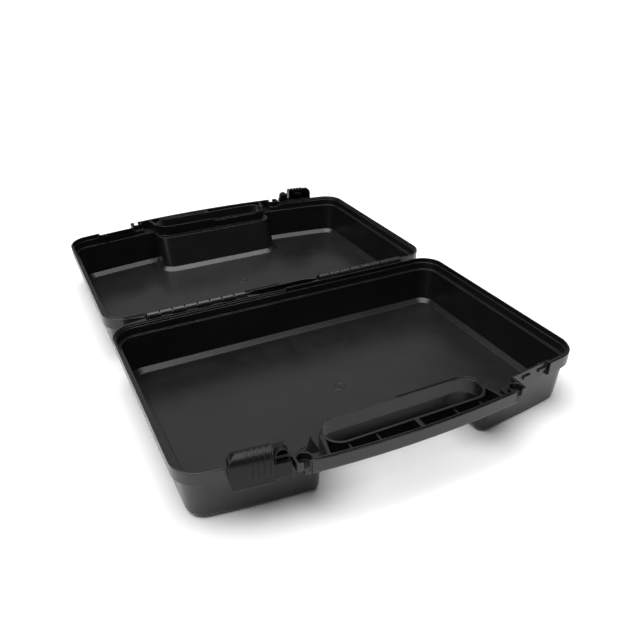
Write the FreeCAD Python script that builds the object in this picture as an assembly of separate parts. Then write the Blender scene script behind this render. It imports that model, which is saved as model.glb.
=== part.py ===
import FreeCAD, Part
import math
import os

# Carrying case of two identical moulded half shells, lying open flat.
# Millimetres. The hinge axis runs along X above the origin, the origin is on the
# ground, the base half reaches toward -Y and the lid half toward +Y.

# Whole case
WIDTH = 400.0                # along the hinge
HEIGHT = 56.0                # one half, from the ground to its rim
RIM_GAP = 0.2                # between the two rims when the case is shut
HINGE_SETBACK = 6.0          # hinge axis to the back face of the rim band
FRONT_CORNER = 258.0         # hinge axis to the front corners, before rounding
FRONT_BOW = 19.5             # how far the middle of the front stands past its corners
CORNER_RADIUS = 26.0
WALL = 2.5

# Side wall, as steps inward from the outer edge of the rim
BAND_HEIGHT = 13.5
BAND_DRAFT = 0.6
BODY_INSET = 4.5
BODY_INSET_GROUND = 9.0
GROUND_RADIUS = 7.0
FLOOR = 3.0
LEDGE_DEPTH = 12.0
FLOOR_BEVEL = 4.5            # flat band between the floor and the walls
FLOOR_STEP = 0.6             # how far the middle of the floor stands above its edge
FLOOR_STEP_MARGIN = 3.0
RIM_STEP = 0.8
RIM_STEP_DEPTH = 4.0
RIM_ROUND = 0.6

# Seal: a tongue on the right half of the rim, a matching rebate on the left half
TONGUE_HEIGHT = 1.5
TONGUE_WIDTH = 1.0
REBATE_DEPTH = 1.8
REBATE_WIDTH = 1.3
LIP_WIDTH = 1.3
LIP_GAP = 0.35
LIP_END = 71.0

# Hand recess under the handle
RECESS_HALF = 81.5
RECESS_HALF_TOP = 80.5
RECESS_BACK = 219.0
RECESS_BACK_TOP = 238.0
RECESS_RADIUS = 14.0
FOOT_ROUND = 8.0

# Handle bar and the finger slot behind it
BAR_HALF = 100.0
BAR_END_Y = 287.5
BAR_BOW = 5.5
BAR_SHOULDER_HALF = 112.0
BAR_SHOULDER_Y = 286.0
SHOULDER_STEP_X = 105.5
SHOULDER_HEIGHT = 8.0
SHOULDER_FLOOR = 1.2
BAR_WALL = 3.2
BAR_GROOVE = 1.3
BAR_GROOVE_DEPTH = 3.0
BAR_ROUND = 3.5
SLOT_HALF = 77.5
SLOT_BACK = 246.5
SLOT_FRONT = 277.0
SLOT_RADIUS = 14.0
SLOT_WALL = 2.2
CHANNEL_RIBS = (-64.0, -38.0, 38.0, 64.0)
CHANNEL_RIB = 1.6
CENTRE_RIB = 4.0
RIB_DROP = 2.4
END_WALL_X = 86.0
POCKET_RADIUS = 6.0
POCKET_X = 104.0
POCKET_Y = 280.5

# Latch, in its own frame: u outward along the slide, n out of the front, z from the rim
LATCH_X = 139.0
LATCH_ANGLE = 8.0
LATCH_INNER = 26.0
LATCH_OUTER = 23.0
LATCH_SPLIT = -11.0          # where the low shelf ends and the tall head begins
LATCH_DEPTH = 12.0
LATCH_GAP = 0.5
LATCH_BOTTOM = 16.0
LATCH_TOP = 15.5
LATCH_CORNER = 8.0
LATCH_TOP_ROUND = 9.0
LATCH_LOW_ROUND = 3.0
LATCH_CAP_STEP = 9.0
LATCH_WALL = 2.5
SHELF_TOP = 0.5
SHELF_BOTTOM = 13.0
LATCH_TRAVEL = 11.0
RIDGE_COUNT = 5
RIDGE_PITCH = 4.6
RIDGE_WIDTH = 1.8
RIDGE_OUT = 1.2
HOOD_FROM = -25.2
HOOD_TO = -13.8
HOOD_TOP = 12.0
HOOD_FRONT = 6.0
HOOD_WALL = 1.2
HOOD_BAR_LOW = 2.8
HOOD_BAR_HIGH = 5.5
END_PLATE_TOP = 4.0
HOOK_STARTS = (-23.0, -2.0)
HOOK_LENGTH = 8.5
HOOK_FLOOR = 8.4
HOOK_THICK = 2.4
HOOK_REACH = 4.1
LUG_LENGTH = 9.8
LUG_OUT = 1.6
LUG_LOW = 5.0
LUG_HIGH = 8.0
KEEPER_START = 112.5
KEEPER_END = 159.0
KEEPER_WALL = 1.6

# Rail on the front band that the latch slides along
RAIL_FROM = -11.0
RAIL_TO = 19.5
RAIL_STEM = 3.0
RAIL_STEM_LOW = -8.6
RAIL_OUT = 6.0
RAIL_HEAD = 2.4
RAIL_HEAD_LOW = -10.6
RAIL_HEAD_HIGH = -3.2
SLIDE_GAP = 0.3

# Hinge
KNUCKLES = 8
HINGE_INNER = 46.0
HINGE_OUTER = 158.0
KNUCKLE_GAP = 1.2
KNUCKLE_RADIUS = 4.8
GUSSET_INNER = 30.0
GUSSET_OUTER = 182.0
GUSSET_HEIGHT = 7.0
PIN_RADIUS = 1.6
PIN_FIT = 0.05
PIN_END = 1.0

# Small moulding details
GATE_Y = 140.5
GATE_RADIUS = 6.0
GATE_PIP = 1.6
GATE_HEIGHT = 0.4
POST_X = 150.0
POST_RADIUS = 1.2
GROOVE_COUNT = 2
GROOVE_X = 101.7
GROOVE_PITCH = 2.2
GROOVE_WIDTH = 0.9
GROOVE_DEPTH = 0.6
STOP_X = 114.5
STOP_DEPTH = 18.5
STOP_RADIUS = 1.6
STOP_OUT = 0.9

LEDGE_Z = HEIGHT - LEDGE_DEPTH
BAND_Z = HEIGHT - BAND_HEIGHT
DECK_UNDER = LEDGE_Z - WALL
AXIS_Z = HEIGHT + RIM_GAP / 2.0
OVER = 1.0                   # how far cutting bodies run past the surface they open

UP = FreeCAD.Vector(0, 0, 1)
ORIGIN = FreeCAD.Vector(0, 0, 0)


def vec(x, y, z):
    return FreeCAD.Vector(x, y, z)


def box(x0, x1, y0, y1, z0, z1):
    return Part.makeBox(x1 - x0, y1 - y0, z1 - z0, vec(x0, y0, z0))


def cylinder_z(x, y, radius, z0, z1):
    return Part.makeCylinder(radius, z1 - z0, vec(x, y, z0))


def cylinder_x(x0, x1, y, z, radius):
    return Part.makeCylinder(radius, x1 - x0, vec(x0, y, z), vec(1, 0, 0))


def prism(points, height):
    """A flat polygon given by its corners, pushed up by a height."""
    return Part.Face(Part.makePolygon(points + [points[0]])).extrude(vec(0, 0, height))


def arc(start, middle, end):
    return Part.Arc(start, middle, end).toShape()


def line(start, end):
    return Part.makeLine(start, end)


def point_at(centre, radius, angle, z):
    return vec(centre[0] + radius * math.cos(angle), centre[1] + radius * math.sin(angle), z)


def corner(centre, radius, start, end, z):
    """An arc round a centre between two angles."""
    middle = (start + end) / 2.0
    return arc(
        point_at(centre, radius, start, z),
        point_at(centre, radius, middle, z),
        point_at(centre, radius, end, z),
    )


def case_outline(inset, z):
    """Plan of one half, a given distance inside the outer edge of its rim."""
    half = WIDTH / 2.0
    bow_radius = (half ** 2 + FRONT_BOW ** 2) / (2.0 * FRONT_BOW)
    bow_centre_y = bow_radius - FRONT_CORNER - FRONT_BOW
    front_radius = bow_radius - inset
    radius = CORNER_RADIUS - inset
    side = half - inset
    corner_x = side - radius
    back_y = -HINGE_SETBACK - inset
    corner_y = bow_centre_y - math.sqrt((front_radius - radius) ** 2 - corner_x ** 2)
    turn = math.atan2(corner_y - bow_centre_y, corner_x)
    bow_centre = (0.0, bow_centre_y)
    edges = []
    edges.append(line(vec(-corner_x, back_y, z), vec(corner_x, back_y, z)))
    edges.append(corner((corner_x, back_y - radius), radius, math.pi / 2, 0.0, z))
    edges.append(line(vec(side, back_y - radius, z), vec(side, corner_y, z)))
    edges.append(corner((corner_x, corner_y), radius, 0.0, turn, z))
    edges.append(corner(bow_centre, front_radius, turn, -math.pi - turn, z))
    edges.append(corner((-corner_x, corner_y), radius, -math.pi - turn, -math.pi, z))
    edges.append(line(vec(-side, corner_y, z), vec(-side, back_y - radius, z)))
    edges.append(corner((-corner_x, back_y - radius), radius, math.pi, math.pi / 2, z))
    return Part.Wire(edges)


def loft(lower, upper):
    return Part.makeLoft([lower, upper], True, True)


def case_layer(inset_low, z_low, inset_high, z_high):
    return loft(case_outline(inset_low, z_low), case_outline(inset_high, z_high))


def rounded_rectangle(x0, x1, y0, y1, radius, z):
    edges = []
    edges.append(line(vec(x0 + radius, y0, z), vec(x1 - radius, y0, z)))
    edges.append(corner((x1 - radius, y0 + radius), radius, -math.pi / 2, 0.0, z))
    edges.append(line(vec(x1, y0 + radius, z), vec(x1, y1 - radius, z)))
    edges.append(corner((x1 - radius, y1 - radius), radius, 0.0, math.pi / 2, z))
    edges.append(line(vec(x1 - radius, y1, z), vec(x0 + radius, y1, z)))
    edges.append(corner((x0 + radius, y1 - radius), radius, math.pi / 2, math.pi, z))
    edges.append(line(vec(x0, y1 - radius, z), vec(x0, y0 + radius, z)))
    edges.append(corner((x0 + radius, y0 + radius), radius, math.pi, 1.5 * math.pi, z))
    return Part.Wire(edges)


def rounded_block(x0, x1, y0, y1, radius, z0, z1):
    face = Part.Face(rounded_rectangle(x0, x1, y0, y1, radius, z0))
    return face.extrude(vec(0, 0, z1 - z0))


def edges_at_height(shape, z):
    """Edges that lie level at one height."""
    found = []
    for edge in shape.Edges:
        bounds = edge.BoundBox
        if abs(bounds.ZMin - z) < 1e-4 and abs(bounds.ZMax - z) < 1e-4:
            found.append(edge)
    return found


def round_level(shape, z, radius):
    return shape.makeFillet(radius, edges_at_height(shape, z))


def foot_edges(body):
    """The two upright edges where the hand recess comes out of the front."""
    found = []
    for edge in body.Edges:
        bounds = edge.BoundBox
        upright = bounds.ZLength > DECK_UNDER - OVER
        beside_recess = max(abs(bounds.XMin), abs(bounds.XMax)) < RECESS_HALF + OVER
        if upright and beside_recess and bounds.YMax < -RECESS_BACK_TOP - RECESS_RADIUS - OVER:
            found.append(edge)
    return found


def outer_body():
    body = case_layer(BODY_INSET_GROUND, 0.0, BODY_INSET, BAND_Z + OVER)
    body = body.cut(recess_body(0.0, DECK_UNDER))
    body = body.makeFillet(FOOT_ROUND, foot_edges(body))
    body = round_level(body, 0.0, GROUND_RADIUS)
    band = case_layer(BAND_DRAFT, BAND_Z, 0.0, HEIGHT)
    band = round_level(band, HEIGHT, RIM_ROUND)
    band = round_level(band, BAND_Z, RIM_ROUND)
    return body.fuse(band)


def bar_plan(half, inset, z):
    """Plan of the bar, with straight ends and a bowed front set in from its front face."""
    front = -BAR_END_Y + inset
    back = -RECESS_BACK_TOP
    start = vec(-half, front, z)
    middle = vec(0, front - BAR_BOW, z)
    end = vec(half, front, z)
    edges = [
        line(vec(-half, back, z), start),
        arc(start, middle, end),
        line(end, vec(half, back, z)),
        line(vec(half, back, z), vec(-half, back, z)),
    ]
    return Part.Face(Part.Wire(edges))


def front_edges_between(shape, low, high):
    """Edges on the front of the bar that lie between two heights."""
    found = []
    for edge in shape.Edges:
        bounds = edge.BoundBox
        if bounds.YMax < -BAR_END_Y + OVER and bounds.ZMin > low and bounds.ZMax < high:
            found.append(edge)
    return found


def handle_block():
    """Solid front bar with its stepped ends, before it is hollowed."""
    low = BAND_Z - OVER
    bar = bar_plan(BAR_HALF, 0.0, low).extrude(vec(0, 0, HEIGHT - low))
    bar = bar.makeFillet(BAR_ROUND, front_edges_between(bar, low - OVER, low + OVER))
    bar = bar.makeFillet(RIM_ROUND, front_edges_between(bar, HEIGHT - OVER, HEIGHT + OVER))
    back = -RECESS_BACK_TOP
    step = rounded_block(
        -SHOULDER_STEP_X, SHOULDER_STEP_X, -BAR_SHOULDER_Y, back, WALL, BAND_Z, HEIGHT
    )
    shoulder = rounded_block(
        -BAR_SHOULDER_HALF,
        BAR_SHOULDER_HALF,
        -BAR_SHOULDER_Y,
        back,
        WALL,
        HEIGHT - SHOULDER_HEIGHT,
        HEIGHT,
    )
    return bar.fuse(step).fuse(shoulder)


def recess_body(wall, top):
    """The hand recess from the ground up to a height, grown by a wall thickness."""
    radius = RECESS_RADIUS + wall
    lower = rounded_rectangle(
        -RECESS_HALF - wall, RECESS_HALF + wall, -400.0, -RECESS_BACK + wall, radius, -OVER
    )
    upper = rounded_rectangle(
        -RECESS_HALF_TOP - wall,
        RECESS_HALF_TOP + wall,
        -400.0,
        -RECESS_BACK_TOP + wall,
        radius,
        top,
    )
    return loft(lower, upper)


def floor_panel():
    """The middle of the floor, a small step above the edge that runs along the walls."""
    margin = WALL + FLOOR_BEVEL + FLOOR_STEP_MARGIN
    panel = case_layer(BODY_INSET_GROUND + margin, 0.0, BODY_INSET_GROUND + margin, FLOOR)
    return panel.cut(recess_body(margin, LEDGE_Z))


def inner_cavity():
    """Everything that is air inside one half, below the rim."""
    low = FLOOR - FLOOR_STEP
    lower = case_layer(BODY_INSET_GROUND + WALL, low, BODY_INSET + WALL, LEDGE_Z + OVER)
    lower = lower.cut(recess_body(WALL, LEDGE_Z))
    lower = lower.makeChamfer(FLOOR_BEVEL, edges_at_height(lower, low))
    lower = lower.cut(floor_panel())
    step_z = HEIGHT - RIM_STEP_DEPTH
    upper = case_layer(WALL + RIM_STEP + BAND_DRAFT, LEDGE_Z, WALL + RIM_STEP, step_z)
    rim = case_layer(WALL, step_z, WALL, HEIGHT + OVER)
    return lower.fuse(upper).fuse(rim)


def bar_channel():
    """The open channel between the finger slot and the front wall of the bar."""
    return bar_plan(BAR_HALF - BAR_WALL, BAR_WALL, LEDGE_Z).extrude(vec(0, 0, LEDGE_DEPTH + OVER))


def bar_groove():
    """Narrow groove along the top of the front wall of the bar."""
    half = BAR_HALF - BAR_WALL
    low = HEIGHT - BAR_GROOVE_DEPTH
    front = (BAR_WALL - BAR_GROOVE) / 2
    strip = bar_plan(half, front, low).extrude(vec(0, 0, BAR_GROOVE_DEPTH + OVER))
    rest = bar_plan(half + OVER, front + BAR_GROOVE, low - OVER).extrude(vec(0, 0, LEDGE_DEPTH))
    return strip.cut(rest)


def shoulder_hollows():
    """Shallow hollows in the two stepped ends of the bar, open to the inside of the case."""
    low = HEIGHT - SHOULDER_HEIGHT + SHOULDER_FLOOR
    far = BAR_SHOULDER_HALF - WALL
    near = BAR_HALF - BAR_WALL - OVER
    front = -BAR_SHOULDER_Y + BAR_WALL
    back = front_face_y(far) + WALL + OVER
    right = box(near, far, front, back, low, HEIGHT + OVER)
    left = box(-far, -near, front, back, low, HEIGHT + OVER)
    return right.fuse(left)


def slot_block(grow, z0, z1):
    return rounded_block(
        -SLOT_HALF - grow,
        SLOT_HALF + grow,
        -SLOT_FRONT - grow,
        -SLOT_BACK + grow,
        SLOT_RADIUS + grow,
        z0,
        z1,
    )


def channel_walls():
    """Tube round the finger slot, the ribs in front of it and the two end walls."""
    walls = slot_block(SLOT_WALL, DECK_UNDER, HEIGHT)
    front = BAR_END_Y + BAR_BOW - OVER
    low = LEDGE_Z - OVER
    for x in CHANNEL_RIBS:
        start = x - CHANNEL_RIB / 2
        rib = box(start, start + CHANNEL_RIB, -BAR_END_Y - OVER, -SLOT_FRONT, low, HEIGHT - RIB_DROP)
        walls = walls.fuse(rib)
    centre = box(-CENTRE_RIB / 2, CENTRE_RIB / 2, -front, -SLOT_FRONT, low, HEIGHT)
    walls = walls.fuse(centre)
    tube_middle = (SLOT_BACK + SLOT_FRONT) / 2
    for side in (-1.0, 1.0):
        points = [
            vec(side * SLOT_HALF, -tube_middle, LEDGE_Z - OVER),
            vec(side * (SLOT_HALF + 2 * SLOT_WALL), -tube_middle, LEDGE_Z - OVER),
            vec(side * END_WALL_X, -BAR_SHOULDER_Y, LEDGE_Z - OVER),
            vec(side * END_WALL_X, -BAR_END_Y, LEDGE_Z - OVER),
            vec(side * (END_WALL_X - SLOT_WALL), -BAR_END_Y, LEDGE_Z - OVER),
        ]
        walls = walls.fuse(prism(points, LEDGE_DEPTH + OVER))
    walls = walls.cut(slot_block(0.0, LEDGE_Z - 2 * OVER, HEIGHT + OVER))
    return walls


def seal_ring(width, over, z0, z1):
    """Inner strip of the rim, of a given width, all round the case and the finger slot.

    over is how far the strip runs on past the inner face of the wall.
    """
    rim = case_layer(WALL - width, z0, WALL - width, z1)
    rim = rim.cut(case_layer(WALL + over, z0 - OVER, WALL + over, z1 + OVER))
    front_gap = box(-BAR_SHOULDER_HALF, BAR_SHOULDER_HALF, -400.0, -200.0, z0 - OVER, z1 + OVER)
    rim = rim.cut(front_gap)
    slot = slot_block(SLOT_WALL + over, z0, z1)
    slot = slot.cut(slot_block(SLOT_WALL - width, z0 - OVER, z1 + OVER))
    middle = -(SLOT_BACK + SLOT_FRONT) / 2
    slot = slot.cut(box(-200.0, 200.0, -400.0, middle, z0 - OVER, z1 + OVER))
    return rim.fuse(slot)


def seal_tongue():
    ring = seal_ring(TONGUE_WIDTH, 0.0, HEIGHT - OVER, HEIGHT + TONGUE_HEIGHT)
    ring = ring.common(box(OVER, WIDTH, -400.0, 0.0, 0.0, 2 * HEIGHT))
    keeper = box(KEEPER_START - OVER, KEEPER_END, -400.0, -230.0, HEIGHT - 2 * OVER, 2 * HEIGHT)
    return ring.cut(keeper)


def near_lip():
    """Raised lip in front of the right half of the finger slot. It drops into the other channel."""
    inner = SLOT_WALL + LIP_GAP
    outer = inner + LIP_WIDTH
    root = slot_block(outer, LEDGE_Z - OVER, HEIGHT).cut(slot_block(OVER, 0.0, 2 * HEIGHT))
    lip = slot_block(outer, HEIGHT - OVER, HEIGHT + TONGUE_HEIGHT).cut(slot_block(inner, 0.0, 2 * HEIGHT))
    near = -(SLOT_BACK + SLOT_FRONT) / 2 - SLOT_RADIUS / 2
    return root.fuse(lip).common(box(CENTRE_RIB, LIP_END, -2 * SLOT_FRONT, near, 0.0, 2 * HEIGHT))


def seal_rebate():
    ring = seal_ring(REBATE_WIDTH, OVER / 2, HEIGHT - REBATE_DEPTH, HEIGHT + OVER)
    return ring.common(box(-WIDTH, OVER / 2, -400.0, 0.0, 0.0, 2 * HEIGHT))


def front_face_y(x):
    """How far forward the outer edge of the rim is at a given X."""
    half = WIDTH / 2.0
    bow_radius = (half ** 2 + FRONT_BOW ** 2) / (2.0 * FRONT_BOW)
    return bow_radius - FRONT_CORNER - FRONT_BOW - math.sqrt(bow_radius ** 2 - x ** 2)


def to_latch_frame(shape, side):
    """Move a body from the latch frame onto the front, on the left (-1) or right (1)."""
    if side < 0:
        angle = 180.0 - LATCH_ANGLE
    else:
        angle = 180.0 + LATCH_ANGLE
    placed = shape.copy()
    turn = FreeCAD.Rotation(UP, angle)
    spot = vec(side * LATCH_X, front_face_y(LATCH_X), HEIGHT)
    placed.Placement = FreeCAD.Placement(spot, turn)
    return placed


def latch_rail():
    """T rail on the left front band that holds the latch."""
    stem = box(RAIL_FROM, RAIL_TO, -OVER, RAIL_OUT, RAIL_STEM_LOW, RAIL_STEM_LOW + RAIL_STEM)
    head = box(RAIL_FROM, RAIL_TO, RAIL_OUT - RAIL_HEAD, RAIL_OUT, RAIL_HEAD_LOW, RAIL_HEAD_HIGH)
    return to_latch_frame(stem.fuse(head), -1.0)


def keeper_recess():
    """Band cut back flush with the body where the other latch swings over."""
    start = LATCH_X - KEEPER_END
    end = LATCH_X - KEEPER_START
    recess = box(start, end, -BODY_INSET, 3 * BODY_INSET, -BAND_HEIGHT - OVER, OVER)
    return to_latch_frame(recess, 1.0)


def keeper_backing():
    """Wall behind the recess, so the side stays closed there."""
    start = LATCH_X - KEEPER_END
    end = LATCH_X - KEEPER_START
    back = -BODY_INSET - KEEPER_WALL
    backing = box(start - WALL, end, back, -BODY_INSET / 2, -BAND_HEIGHT - OVER, 0.0)
    return to_latch_frame(backing, 1.0)


def keeper_lugs():
    """Ledges under which the hooks of the other latch run when it is locked."""
    lugs = []
    for start in HOOK_STARTS:
        # The right side is met face to face, so the slide direction turns over.
        middle = start + HOOK_LENGTH / 2 + LATCH_TRAVEL
        low = -middle - LUG_LENGTH / 2
        high = -middle + LUG_LENGTH / 2
        lugs.append(box(low, high, -BODY_INSET - OVER, LUG_OUT - BODY_INSET, -LUG_HIGH, -LUG_LOW))
    return to_latch_frame(lugs[0].fuse(lugs[1]), 1.0)


def front_pockets():
    """D-shaped pockets at the two ends of the bar."""
    low = HEIGHT - SHOULDER_HEIGHT + SHOULDER_FLOOR
    front = BAR_SHOULDER_Y - SHOULDER_FLOOR
    pockets = None
    for side in (-1.0, 1.0):
        x = side * POCKET_X
        pocket = cylinder_z(x, -POCKET_Y, POCKET_RADIUS, low, HEIGHT + OVER)
        square = box(x - POCKET_RADIUS, x + POCKET_RADIUS, -front, -POCKET_Y, low, HEIGHT + OVER)
        pocket = pocket.fuse(square)
        pockets = pocket if pockets is None else pockets.fuse(pocket)
    return pockets


def pocket_walls():
    """Rounded walls that carry the pockets on the inside of the rim."""
    radius = POCKET_RADIUS + WALL / 2
    low = HEIGHT - SHOULDER_HEIGHT
    walls = cylinder_z(-POCKET_X, -POCKET_Y, radius, low, HEIGHT)
    walls = walls.fuse(cylinder_z(POCKET_X, -POCKET_Y, radius, low, HEIGHT))
    far = BAR_SHOULDER_HALF - OVER / 2
    return walls.common(box(-far, far, -BAR_SHOULDER_Y + OVER, 0.0, low, HEIGHT))


def shoulder_grooves():
    """Small upright grooves in the stepped ends of the bar."""
    grooves = None
    for side in (-1.0, 1.0):
        for index in range(GROOVE_COUNT):
            x = side * (GROOVE_X + index * GROOVE_PITCH)
            low = BAND_Z + 2 * OVER
            groove = box(
                x - GROOVE_WIDTH / 2,
                x + GROOVE_WIDTH / 2,
                -BAR_SHOULDER_Y - OVER,
                -BAR_SHOULDER_Y + GROOVE_DEPTH,
                low,
                HEIGHT - OVER,
            )
            grooves = groove if grooves is None else grooves.fuse(groove)
    return grooves


def latch_stop():
    """Small round boss on the front wall under the resting end of the latch."""
    z = HEIGHT - STOP_DEPTH
    y = front_face_y(STOP_X) + BODY_INSET
    centre = vec(-STOP_X, y + OVER, z)
    return Part.makeCylinder(STOP_RADIUS, OVER + STOP_OUT, centre, vec(0, -1, 0))


def inner_posts():
    posts = []
    for side, inset in ((-1.0, 0.0), (1.0, BODY_INSET)):
        y = front_face_y(POST_X) + inset + WALL + POST_RADIUS / 2
        posts.append(cylinder_z(side * POST_X, y, POST_RADIUS, LEDGE_Z - OVER, HEIGHT - OVER))
    return posts[0].fuse(posts[1])


def gate_mark():
    """Moulding gate on the floor: a pip in a thin ring."""
    low = FLOOR - GATE_HEIGHT
    ring = cylinder_z(0, -GATE_Y, GATE_RADIUS, low, FLOOR + GATE_HEIGHT)
    ring = ring.cut(cylinder_z(0, -GATE_Y, GATE_RADIUS - GATE_HEIGHT * 2, low - OVER, HEIGHT))
    pip = cylinder_z(0, -GATE_Y, GATE_PIP, low, FLOOR + 2 * GATE_HEIGHT)
    return ring.fuse(pip)


def knuckle_spans():
    """X ranges of the knuckles of one half: even places on the right, odd on the left."""
    pitch = (HINGE_OUTER - HINGE_INNER) / KNUCKLES
    spans = []
    for place in range(KNUCKLES):
        outer = HINGE_OUTER - place * pitch - KNUCKLE_GAP / 2
        inner = outer - pitch + KNUCKLE_GAP
        if place % 2 == 0:
            spans.append((inner, outer))
        else:
            spans.append((-outer, -inner))
    return spans


def hinge_knuckles():
    knuckles = None
    for x0, x1 in knuckle_spans():
        barrel = cylinder_x(x0, x1, 0.0, AXIS_Z, KNUCKLE_RADIUS)
        arm = box(x0, x1, -HINGE_SETBACK - OVER, 0.0, AXIS_Z - KNUCKLE_RADIUS, HEIGHT)
        knuckle = barrel.fuse(arm)
        knuckles = knuckle if knuckles is None else knuckles.fuse(knuckle)
    return knuckles


def hinge_gussets():
    """Ramps that stiffen the rim at both ends of each row of knuckles."""
    reach = -HINGE_SETBACK + KNUCKLE_RADIUS
    gussets = None
    for side in (-1.0, 1.0):
        for near, far in ((HINGE_OUTER, GUSSET_OUTER), (HINGE_INNER, GUSSET_INNER)):
            step = 1.0 if far > near else -1.0
            start = side * (near + step * KNUCKLE_GAP)
            end = side * far
            points = [
                vec(start, -HINGE_SETBACK - OVER, HEIGHT - GUSSET_HEIGHT),
                vec(start, reach, HEIGHT - GUSSET_HEIGHT),
                vec(end, -HINGE_SETBACK, HEIGHT - GUSSET_HEIGHT),
                vec(end, -HINGE_SETBACK - OVER, HEIGHT - GUSSET_HEIGHT),
            ]
            ramp = prism(points, GUSSET_HEIGHT)
            gussets = ramp if gussets is None else gussets.fuse(ramp)
    return gussets


def pin_bores():
    """Bores through the knuckles. The outermost right one grips its pin."""
    pitch = (HINGE_OUTER - HINGE_INNER) / KNUCKLES
    grip_start = HINGE_OUTER - pitch
    running = PIN_RADIUS + PIN_FIT
    right = cylinder_x(GUSSET_INNER, grip_start, 0.0, AXIS_Z, running)
    grip = cylinder_x(grip_start - OVER, HINGE_OUTER + OVER, 0.0, AXIS_Z, PIN_RADIUS)
    left = cylinder_x(-HINGE_OUTER - OVER, -GUSSET_INNER, 0.0, AXIS_Z, running)
    return right.fuse(grip).fuse(left)


def half_shell():
    shell = outer_body().fuse(handle_block())
    shell = shell.cut(inner_cavity())
    shell = shell.cut(bar_channel())
    shell = shell.cut(shoulder_hollows())
    shell = shell.fuse(channel_walls())
    shell = shell.cut(bar_groove())
    shell = shell.fuse(pocket_walls())
    shell = shell.fuse(keeper_backing())
    shell = shell.cut(keeper_recess())
    shell = shell.cut(slot_block(0.0, 0.0, HEIGHT + OVER))
    shell = shell.cut(front_pockets())
    shell = shell.cut(shoulder_grooves())
    shell = shell.fuse(latch_stop())
    shell = shell.fuse(keeper_lugs())
    shell = shell.fuse(latch_rail())
    shell = shell.fuse(inner_posts())
    shell = shell.fuse(gate_mark())
    shell = shell.fuse(hinge_gussets())
    shell = shell.fuse(hinge_knuckles())
    shell = shell.cut(pin_bores())
    shell = shell.cut(seal_rebate())
    shell = shell.fuse(seal_tongue())
    shell = shell.fuse(near_lip())
    return shell.removeSplitter()


def latch_profile(u0, u1, n0, n1, z0, z1, radius):
    """A block in the latch frame with its outer end corners rounded."""
    block = box(u0, u1, n0, n1, z0, z1)
    upright = []
    for edge in block.Edges:
        bounds = edge.BoundBox
        if bounds.YLength > n1 - n0 - 0.1 and bounds.XMin > u1 - 0.1:
            upright.append(edge)
    return block.makeFillet(radius, upright)


def front_rounded(block, front, top_radius, low_radius):
    """A block in the latch frame with the top and the bottom of its front rounded."""
    for upper, radius in ((True, top_radius), (False, low_radius)):
        edges = []
        middle = block.BoundBox.Center.z
        for edge in block.Edges:
            bounds = edge.BoundBox
            if bounds.YMin > front - 0.1 and bounds.XLength > 0.5 and bounds.ZLength < 0.1:
                if (bounds.ZMin > middle) == upper:
                    edges.append(edge)
        block = block.makeFillet(radius, edges)
    return block


def latch_head():
    """Outside of the tall part of the latch."""
    ends = latch_profile(
        LATCH_SPLIT, LATCH_OUTER, LATCH_GAP, LATCH_DEPTH, -LATCH_BOTTOM, LATCH_TOP, LATCH_CORNER
    )
    face = box(LATCH_SPLIT, LATCH_OUTER, LATCH_GAP, LATCH_DEPTH, -LATCH_BOTTOM, LATCH_TOP)
    face = front_rounded(face, LATCH_DEPTH, LATCH_TOP_ROUND, LATCH_LOW_ROUND)
    return ends.common(face)


def latch_hollow():
    """Air inside the latch: behind the head, inside its cap and behind the shelf."""
    start = LATCH_SPLIT + LATCH_WALL
    depth = LATCH_DEPTH - LATCH_WALL
    main = latch_profile(
        start,
        LATCH_OUTER - LATCH_WALL,
        -OVER,
        depth,
        -LATCH_BOTTOM + LATCH_WALL,
        LATCH_CAP_STEP,
        LATCH_CORNER - LATCH_WALL,
    )
    cap = box(
        start,
        LATCH_OUTER - 2 * LATCH_WALL,
        -OVER,
        depth - LATCH_WALL,
        LATCH_CAP_STEP - LATCH_WALL,
        LATCH_TOP - LATCH_WALL,
    )
    shelf = box(
        -LATCH_INNER + LATCH_WALL / 2,
        start,
        -OVER,
        depth - LATCH_WALL,
        -LATCH_BOTTOM + 2 * LATCH_WALL,
        SHELF_TOP - LATCH_WALL,
    )
    return main.fuse(cap).fuse(shelf)


def arch(u0, u1, n0, n1, z0, top):
    """A block in the latch frame whose top is a half round across u."""
    radius = (u1 - u0) / 2
    spring = top - radius
    crown = Part.makeCylinder(radius, n1 - n0, vec(u0 + radius, n0, spring), vec(0, 1, 0))
    return box(u0, u1, n0, n1, z0, spring).fuse(crown)


def latch_hood():
    """Open-fronted arch on the shelf, with a bar across its mouth and a plate beside it."""
    hood = arch(HOOD_FROM, HOOD_TO, LATCH_GAP, HOOD_FRONT, 0.0, HOOD_TOP)
    mouth = arch(
        HOOD_FROM + HOOD_WALL,
        HOOD_TO - HOOD_WALL,
        LATCH_GAP + HOOD_WALL,
        HOOD_FRONT + OVER,
        SHELF_TOP,
        HOOD_TOP - HOOD_WALL,
    )
    cross = box(
        HOOD_FROM + OVER,
        HOOD_TO - OVER,
        HOOD_FRONT - 3 * HOOD_WALL / 2,
        HOOD_FRONT - HOOD_WALL / 4,
        HOOD_BAR_LOW,
        HOOD_BAR_HIGH,
    )
    plate = box(-LATCH_INNER, HOOD_FROM + OVER / 2, LATCH_GAP, HOOD_FRONT, 0.0, END_PLATE_TOP)
    return hood.cut(mouth).fuse(cross).fuse(plate)


def latch():
    """Sliding latch: a hollow ribbed head, a low shelf with a hood, guides and hooks."""
    shelf = box(
        -LATCH_INNER,
        LATCH_SPLIT + OVER,
        LATCH_GAP,
        LATCH_DEPTH - LATCH_WALL,
        -SHELF_BOTTOM,
        SHELF_TOP,
    )
    outside = latch_head().fuse(shelf)
    body = outside.cut(latch_hollow())
    body = body.fuse(latch_guides().common(outside))
    body = body.fuse(latch_hood())
    body = body.fuse(latch_hooks())
    for index in range(RIDGE_COUNT):
        body = body.fuse(latch_ridge(LATCH_SPLIT + index * RIDGE_PITCH))
    return body.removeSplitter()


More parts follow.
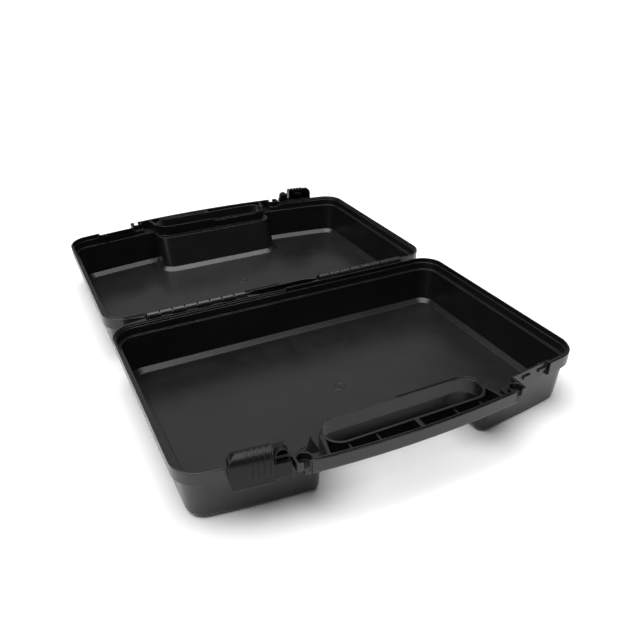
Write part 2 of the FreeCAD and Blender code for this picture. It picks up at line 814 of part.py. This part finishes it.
def latch_ridge(u):
    """One grip ridge: up the front of the head and back over its top."""
    end = u + RIDGE_WIDTH
    front = LATCH_DEPTH + RIDGE_OUT
    top = LATCH_TOP + RIDGE_OUT
    ridge = box(u, end, 3 * LATCH_GAP, front, -LATCH_BOTTOM / 3, top)
    ridge = front_rounded(ridge, front, LATCH_TOP_ROUND + RIDGE_OUT, RIDGE_OUT)
    room = LATCH_WALL + OVER
    inner = box(u - OVER, end + OVER, 0.0, LATCH_DEPTH - room, -HEIGHT, LATCH_TOP - room)
    return ridge.cut(inner)


def latch_guides():
    """Lips behind the head of the rail, and bearing ribs in front of it."""
    start = -LATCH_INNER + LATCH_WALL
    end = LATCH_OUTER - LATCH_WALL + OVER
    lip_back = 3 * LATCH_GAP / 2
    lip_front = RAIL_OUT - RAIL_HEAD - SLIDE_GAP
    bottom = -LATCH_BOTTOM + OVER
    lower = box(start, end, lip_back, lip_front, bottom, RAIL_STEM_LOW - SLIDE_GAP)
    lower_web = box(start, end, lip_back, LATCH_DEPTH - OVER, bottom, RAIL_HEAD_LOW - SLIDE_GAP)
    upper = box(start, end, lip_back, lip_front, RAIL_STEM_LOW + RAIL_STEM + SLIDE_GAP, 0.0)
    upper_web = box(start, end, lip_back, LATCH_DEPTH - WALL - OVER, RAIL_HEAD_HIGH + SLIDE_GAP, 0.0)
    bearing = box(start, end, RAIL_OUT + SLIDE_GAP, LATCH_DEPTH - WALL, -10.0, -6.0)
    guides = lower.fuse(lower_web).fuse(upper).fuse(upper_web).fuse(bearing)
    return guides


def latch_hooks():
    hooks = None
    roots = (LATCH_GAP + HOOD_WALL, LATCH_DEPTH - 2 * LATCH_WALL)
    for start, root in zip(HOOK_STARTS, roots):
        hook = box(
            start,
            start + HOOK_LENGTH,
            -HOOK_REACH,
            root,
            HOOK_FLOOR,
            HOOK_FLOOR + HOOK_THICK,
        )
        hooks = hook if hooks is None else hooks.fuse(hook)
    return hooks


def hinge_pin():
    """Right hinge pin, gripped by the outermost knuckle and free in the others."""
    pin = cylinder_x(HINGE_INNER + PIN_END, HINGE_OUTER - PIN_END / 2, 0.0, AXIS_Z, PIN_RADIUS)
    ends = []
    for edge in pin.Edges:
        if edge.BoundBox.XLength < 0.1:
            ends.append(edge)
    return pin.makeFillet(PIN_RADIUS / 4, ends)


def turned(shape):
    """The same part on the other half, half a turn round the vertical axis."""
    other = shape.copy()
    other.rotate(ORIGIN, UP, 180.0)
    return other


def write(name, shape):
    shape.exportStep(os.path.join("parts", name + ".step"))


os.makedirs("parts", exist_ok=True)
shell = half_shell()
slider = to_latch_frame(latch(), -1.0)
pin = hinge_pin()
write("base_shell", shell)
write("lid_shell", turned(shell))
write("base_latch", slider)
write("lid_latch", turned(slider))
write("hinge_pin_right", pin)
write("hinge_pin_left", turned(pin))
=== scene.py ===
import math
import bpy
from mathutils import Matrix, Vector

# Looks for a black moulded carrying case lying open flat, on a white studio ground.
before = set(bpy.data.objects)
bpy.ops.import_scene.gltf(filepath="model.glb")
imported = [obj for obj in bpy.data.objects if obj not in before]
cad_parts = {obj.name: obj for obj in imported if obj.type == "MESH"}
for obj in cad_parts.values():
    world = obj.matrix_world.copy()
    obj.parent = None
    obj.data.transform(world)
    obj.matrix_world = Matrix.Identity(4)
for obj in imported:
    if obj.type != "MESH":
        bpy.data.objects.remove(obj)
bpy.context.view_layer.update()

# Colours, linear.
BLACK = (0.0042, 0.0043, 0.0046, 1.0)
BLACK_WORN = (0.026, 0.0265, 0.0275, 1.0)
# Lighter colour for the edges: partly rubbed wear, partly a painted highlight along the edges.
EDGE_WEAR_AND_HIGHLIGHT = (0.060, 0.061, 0.063, 1.0)
LATCH_BLACK = (0.0045, 0.0047, 0.0052, 1.0)
STEEL = (0.30, 0.30, 0.31, 1.0)
STEEL_DARK = (0.20, 0.20, 0.21, 1.0)
PAPER_DULL = (0.90, 0.90, 0.90, 1.0)
PAPER_WHITE = (0.93, 0.93, 0.93, 1.0)

# Distance of the moulding gate of each half from the hinge line, in metres.
GATE_Y = 0.1405
# The rays of the flow lines start at the gate and die out towards the walls, in metres.
RAY_START = 0.008
RAY_FULL = 0.05
RAY_END = 0.19

# Repeats of each surface pattern per metre.
WEAR_PATCHES = 55.0
SCUFF_STREAKS = 420.0
SCUFF_AREAS = 14.0
GLOSS_CLOUDS = 9.0
COLOUR_MOTTLE = 30.0
SPARK_GRAIN = 2600.0
MOULD_WAVES = 38.0
WIRE_RINGS = 2200.0
PAPER_CLOUDS = 3.0

PLASTIC_IOR = 1.49

# Stage, in metres.
GROUND_HALF = 40.0
VIEW_LIMIT = 100.0

# Lights: watts for the panels, sun strength for the overhead light, degrees for its spread.
WORLD_FILL = 0.06
OVERHEAD_STRENGTH = 4.1
OVERHEAD_SPREAD = 66.0
OVERHEAD_LEAN = (-0.14, 0.04, 1.0)
BACK_POWER = 4.0
LEFT_POWER = 5.0

# Camera: place in metres, headings in degrees, lens and sensor in millimetres.
SENSOR_WIDTH = 36.0
CAMERA_PLACE = Vector((-0.2697, -0.6537, 0.4058))
CAMERA_YAW = 25.876
CAMERA_PITCH = 29.219
CAMERA_ROLL = -0.793
CAMERA_LENS = 38.346


class Nodes:
    """Short names for making and joining the nodes of one material."""

    def __init__(self, name):
        self.material = bpy.data.materials.new(name)
        self.material.use_nodes = True
        self.tree = self.material.node_tree
        self.shader = self.tree.nodes["Principled BSDF"]

    def add(self, kind, **settings):
        node = self.tree.nodes.new(kind)
        for key, value in settings.items():
            setattr(node, key, value)
        return node

    def assign(self, node, **values):
        for key, value in values.items():
            node.inputs[key.replace("_", " ")].default_value = value

    def join(self, source, target):
        self.tree.links.new(source, target)

    def noise(self, coords, scale, detail=2.0, roughness=0.5, distortion=0.0):
        node = self.add("ShaderNodeTexNoise")
        self.assign(node, Scale=scale, Detail=detail, Roughness=roughness, Distortion=distortion)
        self.join(coords, node.inputs["Vector"])
        return node.outputs["Fac"]

    def calc(self, operation, a, b=None, clamp=False):
        node = self.add("ShaderNodeMath", operation=operation, use_clamp=clamp)
        for index, value in enumerate((a, b)):
            if value is None:
                continue
            if isinstance(value, (int, float)):
                node.inputs[index].default_value = value
            else:
                self.join(value, node.inputs[index])
        return node.outputs[0]

    def remap(self, value, low, high, to_low, to_high):
        node = self.add("ShaderNodeMapRange", clamp=True)
        self.join(value, node.inputs["Value"])
        limits = {"From Min": low, "From Max": high, "To Min": to_low, "To Max": to_high}
        for key, number in limits.items():
            node.inputs[key].default_value = number
        return node.outputs["Result"]

    def blend(self, factor, first, second):
        node = self.add("ShaderNodeMix", data_type="RGBA")
        self.join(factor, node.inputs[0])
        for index, value in ((6, first), (7, second)):
            if isinstance(value, tuple):
                node.inputs[index].default_value = value
            else:
                self.join(value, node.inputs[index])
        return node.outputs[2]


def moulded_plastic(name, colour, worn, roughness, edge_radius, shine, flow):
    """Satin polypropylene: spark-eroded grain, softened edges, rub marks and flow lines; the edges
    are lightened, partly as rubbed wear and partly as painted highlight lines.
    """
    n = Nodes(name)
    coords = n.add("ShaderNodeTexCoord").outputs["Object"]
    geometry = n.add("ShaderNodeNewGeometry")
    rounded = n.add("ShaderNodeBevel", samples=6)
    rounded.inputs["Radius"].default_value = edge_radius

    # How far the softened edge turns away from the flat face marks the rubbed edges, which are also
    # lightened as painted highlight lines.
    alike = n.add("ShaderNodeVectorMath", operation="DOT_PRODUCT")
    n.join(rounded.outputs["Normal"], alike.inputs[0])
    n.join(geometry.outputs["Normal"], alike.inputs[1])
    edge = n.remap(alike.outputs["Value"], 0.995, 0.86, 0.0, 1.0)
    patches = n.noise(coords, WEAR_PATCHES, 4.0, 0.6)
    edge_wear_and_highlight = n.calc("MULTIPLY", edge, n.remap(patches, 0.35, 0.65, 0.25, 1.0))

    # Long rub marks: noise stretched along the case, thresholded to thin streaks.
    stretch = n.add("ShaderNodeMapping")
    stretch.inputs["Scale"].default_value = (0.10, 1.0, 0.6)
    stretch.inputs["Rotation"].default_value = (0.0, 0.0, 0.35)
    n.join(coords, stretch.inputs["Vector"])
    streaks = n.noise(stretch.outputs["Vector"], SCUFF_STREAKS, 3.0, 0.6, 0.4)
    scuffs = n.remap(streaks, 0.66, 0.74, 0.0, 1.0)
    rubbed_areas = n.noise(coords, SCUFF_AREAS, 2.0)
    scuffs = n.calc("MULTIPLY", scuffs, n.remap(rubbed_areas, 0.50, 0.62, 0.0, 0.55))

    # Large soft differences in gloss, as on any moulding that has been handled.
    clouds = n.noise(coords, GLOSS_CLOUDS, 3.0, 0.55)
    gloss = n.remap(clouds, 0.3, 0.7, roughness - 0.035, roughness + 0.045)
    if flow:
        gloss = n.calc("ADD", gloss, flow_lines(n, coords))
    gloss = n.calc("SUBTRACT", gloss, n.calc("MULTIPLY", edge_wear_and_highlight, 0.06))
    gloss = n.calc("ADD", gloss, n.calc("MULTIPLY", scuffs, 0.08), clamp=True)
    n.join(gloss, n.shader.inputs["Roughness"])

    mottle = n.noise(coords, COLOUR_MOTTLE, 5.0, 0.65)
    mottled = n.blend(n.remap(mottle, 0.3, 0.7, 0.0, 0.16), colour, worn)
    scuffed = n.blend(n.calc("MULTIPLY", scuffs, 0.35), mottled, worn)
    # Edges lightened: partly rubbed wear, partly painted highlight lines.
    edged = n.blend(n.calc("MULTIPLY", edge_wear_and_highlight, 0.7), scuffed, EDGE_WEAR_AND_HIGHLIGHT)
    n.join(edged, n.shader.inputs["Base Color"])

    grain = n.noise(coords, SPARK_GRAIN, 2.0, 0.6)
    waves = n.noise(coords, MOULD_WAVES, 1.0)
    fine = n.add("ShaderNodeBump")
    n.assign(fine, Strength=0.22, Distance=0.00006)
    n.join(grain, fine.inputs["Height"])
    n.join(rounded.outputs["Normal"], fine.inputs["Normal"])
    broad = n.add("ShaderNodeBump")
    n.assign(broad, Strength=0.35, Distance=0.00025)
    n.join(waves, broad.inputs["Height"])
    n.join(fine.outputs["Normal"], broad.inputs["Normal"])
    n.join(broad.outputs["Normal"], n.shader.inputs["Normal"])
    n.shader.inputs["IOR"].default_value = PLASTIC_IOR
    n.shader.inputs["Specular IOR Level"].default_value = shine
    return n.material


def flow_lines(n, coords):
    """Faint rays in the gloss, spreading from the gate in the middle of each floor."""
    split = n.add("ShaderNodeSeparateXYZ")
    n.join(coords, split.inputs["Vector"])
    along = n.calc("SUBTRACT", n.calc("ABSOLUTE", split.outputs["Y"]), GATE_Y)
    angle = n.calc("ARCTAN2", along, split.outputs["X"])
    squares = [n.calc("POWER", side, 2.0) for side in (along, split.outputs["X"])]
    radius = n.calc("SQRT", n.calc("ADD", *squares))
    around = n.add("ShaderNodeCombineXYZ")
    n.join(n.calc("COSINE", angle), around.inputs["X"])
    n.join(n.calc("SINE", angle), around.inputs["Y"])
    n.join(n.calc("MULTIPLY", radius, 2.0), around.inputs["Z"])
    rays = n.noise(around.outputs["Vector"], 7.0, 3.0, 0.55)
    strength = n.remap(radius, RAY_START, RAY_FULL, 0.0, 1.0)
    fade = n.remap(radius, RAY_FULL, RAY_END, 1.0, 0.25)
    rays = n.calc("MULTIPLY", n.calc("SUBTRACT", rays, 0.5), n.calc("MULTIPLY", strength, fade))
    return n.calc("MULTIPLY", rays, 0.16)


def drawn_steel(name):
    """Drawn wire of the hinge pins: fine rings round the wire and a dull finish."""
    n = Nodes(name)
    coords = n.add("ShaderNodeTexCoord").outputs["Object"]
    squeeze = n.add("ShaderNodeMapping")
    squeeze.inputs["Scale"].default_value = (0.05, 1.0, 1.0)
    n.join(coords, squeeze.inputs["Vector"])
    lines = n.noise(squeeze.outputs["Vector"], WIRE_RINGS, 2.0)
    n.join(n.remap(lines, 0.3, 0.7, 0.32, 0.48), n.shader.inputs["Roughness"])
    shade = n.blend(n.remap(lines, 0.3, 0.7, 0.0, 1.0), STEEL, STEEL_DARK)
    n.join(shade, n.shader.inputs["Base Color"])
    bump = n.add("ShaderNodeBump")
    n.assign(bump, Strength=0.2, Distance=0.00005)
    n.join(lines, bump.inputs["Height"])
    n.join(bump.outputs["Normal"], n.shader.inputs["Normal"])
    n.shader.inputs["Metallic"].default_value = 1.0
    return n.material


def dress(node, material):
    """Give one part of the case its material."""
    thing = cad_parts[node]
    thing.data.materials.clear()
    thing.data.materials.append(material)


shell_plastic = moulded_plastic("shell_plastic", BLACK, BLACK_WORN, 0.30, 0.0007, 0.52, True)
latch_plastic = moulded_plastic("latch_plastic", LATCH_BLACK, BLACK_WORN, 0.34, 0.0006, 0.22, False)
pin_steel = drawn_steel("pin_steel")
for shell in ("base_shell", "lid_shell"):
    dress(shell, shell_plastic)
for slider in ("base_latch", "lid_latch"):
    dress(slider, latch_plastic)
for pin in ("hinge_pin_right", "hinge_pin_left"):
    dress(pin, pin_steel)


def studio_ground():
    """A wide white sheet on the ground."""
    mesh = bpy.data.meshes.new("ground")
    signs = ((-1, -1), (1, -1), (1, 1), (-1, 1))
    corners = [(GROUND_HALF * x, GROUND_HALF * y, 0.0) for x, y in signs]
    mesh.from_pydata(corners, [], [(0, 1, 2, 3)])
    ground = bpy.data.objects.new("ground", mesh)
    bpy.context.scene.collection.objects.link(ground)
    n = Nodes("ground_white")
    coords = n.add("ShaderNodeTexCoord").outputs["Object"]
    tint = n.blend(n.noise(coords, PAPER_CLOUDS, 2.0), PAPER_DULL, PAPER_WHITE)
    n.join(tint, n.shader.inputs["Base Color"])
    n.shader.inputs["Roughness"].default_value = 0.9
    n.shader.inputs["Specular IOR Level"].default_value = 0.1
    mesh.materials.append(n.material)


def soft_light(name, place, target, size, power):
    """A rectangular panel of light, aimed at a point."""
    data = bpy.data.lights.new(name, "AREA")
    data.shape = "RECTANGLE"
    data.size, data.size_y = size
    data.energy = power
    lamp = bpy.data.objects.new(name, data)
    lamp.location = place
    lamp.rotation_euler = (Vector(target) - Vector(place)).to_track_quat("-Z", "Y").to_euler()
    bpy.context.scene.collection.objects.link(lamp)


def overhead_light(strength, spread, lean):
    """A broad light from overhead that whitens the ground evenly, however far away."""
    data = bpy.data.lights.new("overhead", "SUN")
    data.energy = strength
    data.angle = math.radians(spread)
    lamp = bpy.data.objects.new("overhead", data)
    lamp.rotation_euler = Vector(lean).to_track_quat("Z", "Y").to_euler()
    bpy.context.scene.collection.objects.link(lamp)


def studio_world(fill):
    """A surround that looks white but gives the object only a little fill light."""
    world = bpy.data.worlds.new("studio")
    world.use_nodes = True
    tree = world.node_tree
    background = tree.nodes["Background"]
    background.inputs["Color"].default_value = (1.0, 1.0, 1.0, 1.0)
    path = tree.nodes.new("ShaderNodeLightPath")
    level = tree.nodes.new("ShaderNodeMath")
    level.operation = "MAXIMUM"
    level.inputs[1].default_value = fill
    tree.links.new(path.outputs["Is Camera Ray"], level.inputs[0])
    tree.links.new(level.outputs[0], background.inputs["Strength"])
    bpy.context.scene.world = world


def camera_at(place, yaw, pitch, roll, lens):
    """A camera that looks along a heading, tilted down by the pitch."""
    y, p, r = (math.radians(v) for v in (yaw, pitch, roll))
    forward = Vector((math.sin(y) * math.cos(p), math.cos(y) * math.cos(p), -math.sin(p)))
    right = Vector((math.cos(y), -math.sin(y), 0.0))
    up = right.cross(forward)
    side = right * math.cos(r) + up * math.sin(r)
    top = up * math.cos(r) - right * math.sin(r)
    data = bpy.data.cameras.new("camera")
    data.lens = lens
    data.sensor_width = SENSOR_WIDTH
    data.clip_end = VIEW_LIMIT
    camera = bpy.data.objects.new("camera", data)
    turn = Matrix((side, top, -forward)).transposed().to_4x4()
    camera.matrix_world = Matrix.Translation(place) @ turn
    bpy.context.scene.collection.objects.link(camera)
    bpy.context.scene.camera = camera


studio_ground()
studio_world(WORLD_FILL)
overhead_light(OVERHEAD_STRENGTH, OVERHEAD_SPREAD, OVERHEAD_LEAN)
soft_light("back_panel", (0.5, 1.9, 1.5), (0.0, 0.0, 0.0), (2.2, 1.2), BACK_POWER)
soft_light("left_panel", (-2.0, -0.9, 1.2), (0.0, -0.1, 0.0), (1.2, 1.2), LEFT_POWER)
camera_at(CAMERA_PLACE, CAMERA_YAW, CAMERA_PITCH, CAMERA_ROLL, CAMERA_LENS)
bpy.context.scene.view_settings.view_transform = "Standard"
